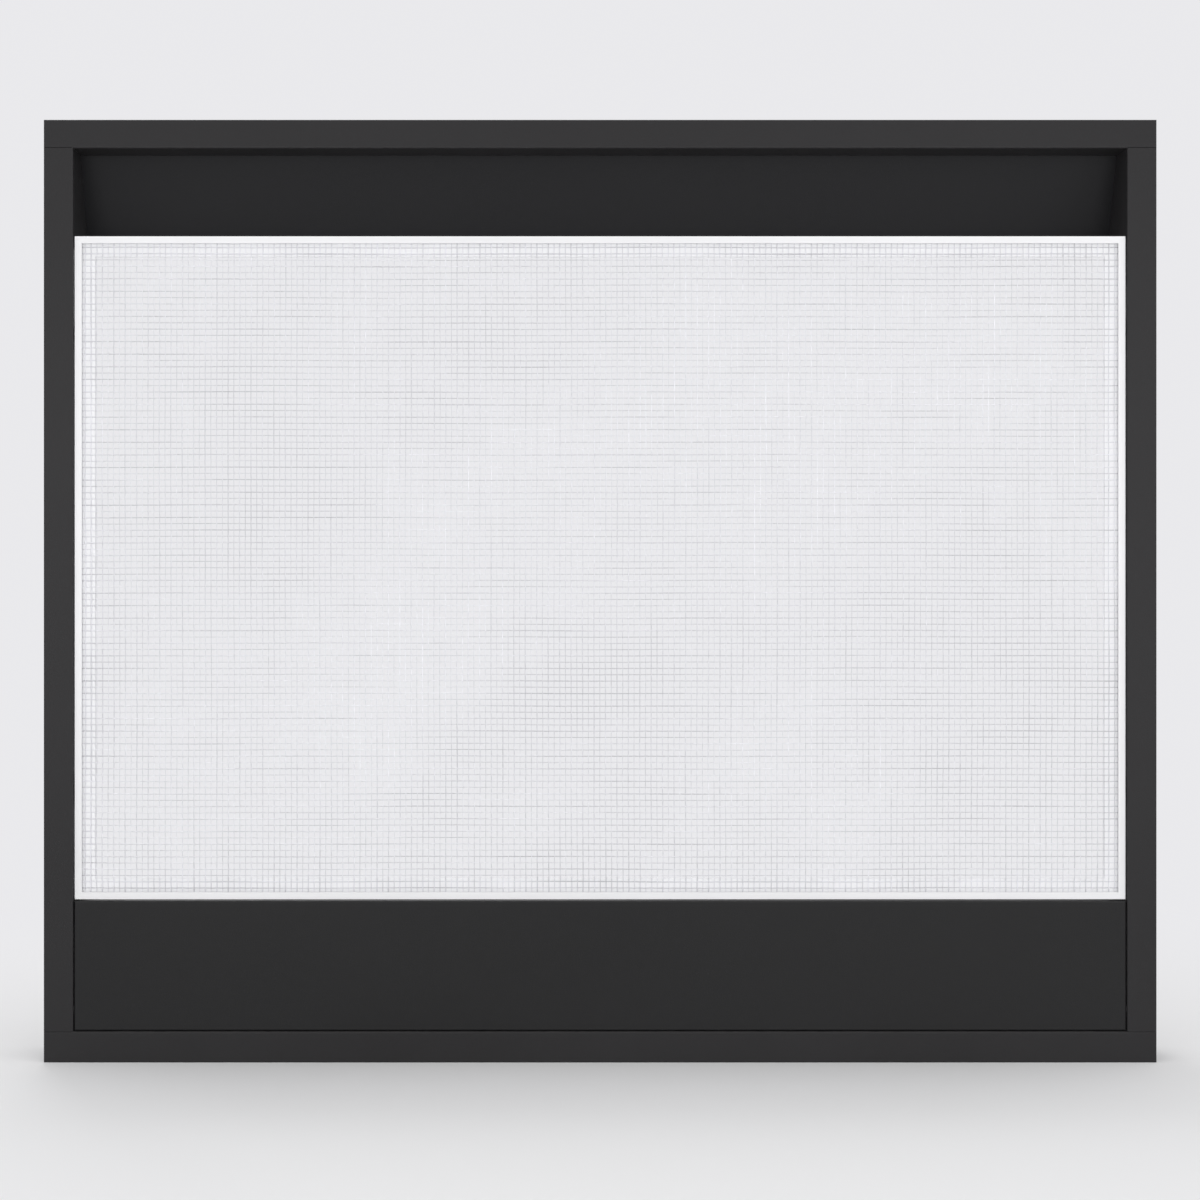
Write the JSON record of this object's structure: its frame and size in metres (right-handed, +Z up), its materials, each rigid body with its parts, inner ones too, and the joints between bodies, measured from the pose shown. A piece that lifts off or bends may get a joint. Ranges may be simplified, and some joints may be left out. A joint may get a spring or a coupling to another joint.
{
  "type": "mesh fireplace front",
  "caption": "Dark sheet-metal fireplace front with a sloped air hood, a lift-off wire mesh screen hung on pins, and a drop-down access door held by magnet catches.",
  "frame": {"origin": "bottom centre of the back plane that rests against the fireplace", "axes": "+X to the right seen from the front, +Y to the back, into the fireplace, +Z up"},
  "size_m": [1.04, 0.062, 0.881],
  "materials": {
    "surround_coat": "matte charcoal powder coat, fine texture",
    "hood_coat": "matte charcoal powder coat",
    "door_coat": "matte charcoal powder coat, fine texture",
    "plated_steel": "zinc plated",
    "rivet_steel": "blackened steel",
    "catch_plastic": "moulded black",
    "magnet": "ferrite",
    "bush_bronze": "oil-blackened sintered bronze",
    "wire": "satin stainless wire",
    "channel_steel": "bright satin stainless"
  },
  "bodies": {
    "surround": {"top_rail": "surround_coat", "bottom_rail": "surround_coat", "left_stile": "surround_coat", "right_stile": "surround_coat", "mid_rail": "surround_coat", "air_hood": "hood_coat", "top_left_corner_bracket": "plated_steel", "top_right_corner_bracket": "plated_steel", "bottom_left_corner_bracket": "plated_steel", "bottom_right_corner_bracket": "plated_steel", "screen_hang_pins": "plated_steel", "hang_pin_nuts": "plated_steel", "hinge_pin_nuts": "plated_steel", "catch_screws": "plated_steel", "catch_pole_plates": "plated_steel", "left_hinge_pin": "rivet_steel", "right_hinge_pin": "rivet_steel", "mid_rail_rivets": "rivet_steel", "hood_rivets": "rivet_steel", "hood_corner_rivets": "rivet_steel", "bracket_rivets": "rivet_steel", "left_catch_housing": "catch_plastic", "right_catch_housing": "catch_plastic", "catch_magnets": "magnet"},
    "screen": {"mesh_cloth": "wire", "screen_top_channel": "channel_steel", "screen_bottom_channel": "channel_steel", "screen_left_channel": "channel_steel", "screen_right_channel": "channel_steel", "top_retaining_strip": "channel_steel", "bottom_retaining_strip": "channel_steel", "left_retaining_strip": "channel_steel", "right_retaining_strip": "channel_steel", "upper_left_corner_plate": "channel_steel", "upper_right_corner_plate": "channel_steel", "lower_left_corner_plate": "channel_steel", "lower_right_corner_plate": "channel_steel", "upper_left_hook": "channel_steel", "upper_right_hook": "channel_steel", "lower_left_hook": "channel_steel", "lower_right_hook": "channel_steel"},
    "access_door": {"door_panel": "door_coat", "door_stiffener": "door_coat", "left_door_bush": "bush_bronze", "right_door_bush": "bush_bronze"}
  },
  "joints": [
    {"name": "door_hinge", "type": "hinge", "parent": "surround", "child": "access_door", "pos_m": [0, -0.056, 0.0498], "axis": [1, 0, 0], "range_deg": [0, 113]},
    {"name": "screen_lift", "type": "slide", "parent": "surround", "child": "screen", "axis": [0, 0, 1], "range_m": [0, 0.018]}
  ]
}
